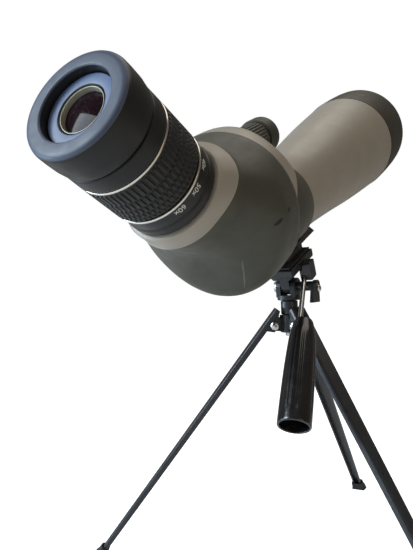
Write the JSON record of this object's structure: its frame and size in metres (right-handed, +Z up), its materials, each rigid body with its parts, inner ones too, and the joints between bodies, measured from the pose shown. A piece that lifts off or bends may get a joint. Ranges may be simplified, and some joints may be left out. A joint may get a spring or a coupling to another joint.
{
  "type": "spotting scope",
  "caption": "Angled zoom spotting scope with ribbed zoom ring, focus knob and sliding sunshade, on a small folding tabletop tripod with a pan and tilt head.",
  "frame": {"origin": "centre of the footprint of the whole object, at floor level", "axes": "+Z up, +Y towards the objective, +X to the right of someone looking through the eyepiece"},
  "size_m": [0.227, 0.3736, 0.32],
  "materials": {
    "black_metal": "black, satin",
    "black_plastic": "satin black",
    "black_rubber": "matt black",
    "brass": "turned",
    "bright_metal": "polished",
    "gloss_plastic": "glossy black",
    "green_rubber": "dark green matt armour",
    "grey_paint": "warm light-grey satin paint",
    "lens_glass": "coated",
    "olive_plastic": "dark olive, satin",
    "prism_glass": "clear polished",
    "ring_metal": "beige anodised"
  },
  "bodies": {
    "tripod_hub": {"centre_post": "black_metal", "leg_spider": "black_plastic", "post_screw": "bright_metal", "rivet_front": "bright_metal", "rivet_left": "bright_metal", "rivet_right": "bright_metal"},
    "front_leg": {"leg_front": "black_metal", "shoe_front": "black_rubber"},
    "left_leg": {"leg_left": "black_metal", "shoe_left": "black_rubber"},
    "right_leg": {"leg_right": "black_metal", "shoe_right": "black_rubber"},
    "pan_head": {"pan_body": "black_plastic", "tilt_bolt": "bright_metal", "clamp_spacer": "black_plastic"},
    "clamp_lever": {"tilt_lever": "black_plastic", "lever_stud": "bright_metal"},
    "scope_body": {"camera_plate": "black_plastic", "plate_pad": "black_rubber", "tilt_tongue": "black_plastic", "handle_socket": "black_plastic", "handle_rod": "bright_metal", "handle_grip": "gloss_plastic", "mount_foot": "black_plastic", "foot_thread_insert": "brass", "main_tube": "grey_paint", "prism_housing": "grey_paint", "rear_armour": "green_rubber", "neck_armour": "green_rubber", "tube_baffle": "black_metal", "objective_lens_front": "lens_glass", "objective_lens_rear": "lens_glass", "objective_retaining_ring": "black_metal", "eyepiece_seat": "grey_paint", "eyepiece_barrel": "black_metal", "zoom_scale_ring": "black_plastic", "lower_trim_ring": "bright_metal", "eyecup_collar": "black_plastic", "eye_lens": "lens_glass", "eye_lens_ring": "ring_metal", "focus_bush": "brass"},
    "plate_screw": {"camera_screw": "black_metal"},
    "zoom_ring": {"zoom_grip": "black_rubber", "zoom_sleeve": "black_metal", "upper_trim_ring": "bright_metal"},
    "lower_zoom_cell": {"zoom_cell_lower": "black_metal", "zoom_lens_lower": "lens_glass"},
    "upper_zoom_cell": {"zoom_cell_upper": "black_metal", "zoom_lens_upper": "lens_glass"},
    "eyecup_guide": {"eyecup_guide_ring": "brass"},
    "eyecup_body": {"eyecup": "black_rubber", "eyecup_sleeve": "black_plastic"},
    "focus_drive": {"focus_knob": "olive_plastic", "focus_knob_cap": "olive_plastic", "focus_shaft": "bright_metal"},
    "prism_slide": {"prism_carriage": "black_metal", "erecting_prism": "prism_glass"},
    "sunshade_body": {"sunshade": "olive_plastic"}
  },
  "joints": [
    {"name": "front_leg_fold", "type": "hinge", "parent": "tripod_hub", "child": "front_leg", "pos_m": [0, 0.01787, 0.13895], "axis": [-1, 0, 0], "range_deg": [0, 36]},
    {"name": "left_leg_fold", "type": "hinge", "parent": "tripod_hub", "child": "left_leg", "pos_m": [-0.00857, 0.00302, 0.13895], "axis": [0.5, -0.866, 0], "range_deg": [0, 36]},
    {"name": "right_leg_fold", "type": "hinge", "parent": "tripod_hub", "child": "right_leg", "pos_m": [0.00857, 0.00302, 0.13895], "axis": [0.5, 0.866, 0], "range_deg": [0, 36]},
    {"name": "pan", "type": "hinge", "parent": "tripod_hub", "child": "pan_head", "pos_m": [0, 0.00797, 0.15395], "axis": [0, 0, 1], "range_deg": [-62, 12]},
    {"name": "tilt", "type": "hinge", "parent": "pan_head", "child": "scope_body", "pos_m": [0, 0.00797, 0.16225], "axis": [1, 0, 0], "range_deg": [-45, 3]},
    {"name": "clamp_lever_turn", "type": "hinge", "parent": "pan_head", "child": "clamp_lever", "pos_m": [0.0178, 0.00797, 0.16225], "axis": [1, 0, 0], "range_deg": [-35, 20]},
    {"name": "plate_screw_turn", "type": "hinge", "parent": "scope_body", "child": "plate_screw", "pos_m": [0, 0.01723, 0.17773], "axis": [0, -0.3795, 0.9252], "continuous": true},
    {"name": "zoom_turn", "type": "hinge", "parent": "scope_body", "child": "zoom_ring", "pos_m": [0, -0.14191, 0.21824], "axis": [0, -0.9225, 0.3859], "range_deg": [-114, 0]},
    {"name": "lower_cell_travel", "type": "slide", "parent": "scope_body", "child": "lower_zoom_cell", "axis": [0, -0.9225, 0.3859], "range_m": [0, 0.0061]},
    {"name": "upper_cell_travel", "type": "slide", "parent": "scope_body", "child": "upper_zoom_cell", "axis": [0, -0.9225, 0.3859], "range_m": [-0.0061, 0]},
    {"name": "eyecup_twist", "type": "hinge", "parent": "scope_body", "child": "eyecup_guide", "pos_m": [0, -0.16128, 0.22634], "axis": [0, -0.9225, 0.3859], "range_deg": [0, 90]},
    {"name": "eyecup_rise", "type": "slide", "parent": "eyecup_guide", "child": "eyecup_body", "axis": [0, -0.9225, 0.3859], "range_m": [0, 0.0061]},
    {"name": "focus_turn", "type": "hinge", "parent": "scope_body", "child": "focus_drive", "pos_m": [0, -0.04242, 0.24147], "axis": [0, 0.9252, 0.3795], "range_deg": [-360, 360]},
    {"name": "focus_travel", "type": "slide", "parent": "scope_body", "child": "prism_slide", "axis": [0, 0.9252, 0.3795], "range_m": [-0.0031, 0.0031]},
    {"name": "sunshade_slide", "type": "slide", "parent": "scope_body", "child": "sunshade_body", "axis": [0, 0.9252, 0.3795], "range_m": [0, 0.026]}
  ],
  "couplings": [
    {"joint": "lower_cell_travel", "follows": "zoom_turn", "m_per_rad": -0.0030156},
    {"joint": "upper_cell_travel", "follows": "zoom_turn", "m_per_rad": 0.0030156},
    {"joint": "eyecup_rise", "follows": "eyecup_twist", "m_per_rad": 0.0038197},
    {"joint": "focus_travel", "follows": "focus_turn", "m_per_rad": 0.00047746}
  ]
}
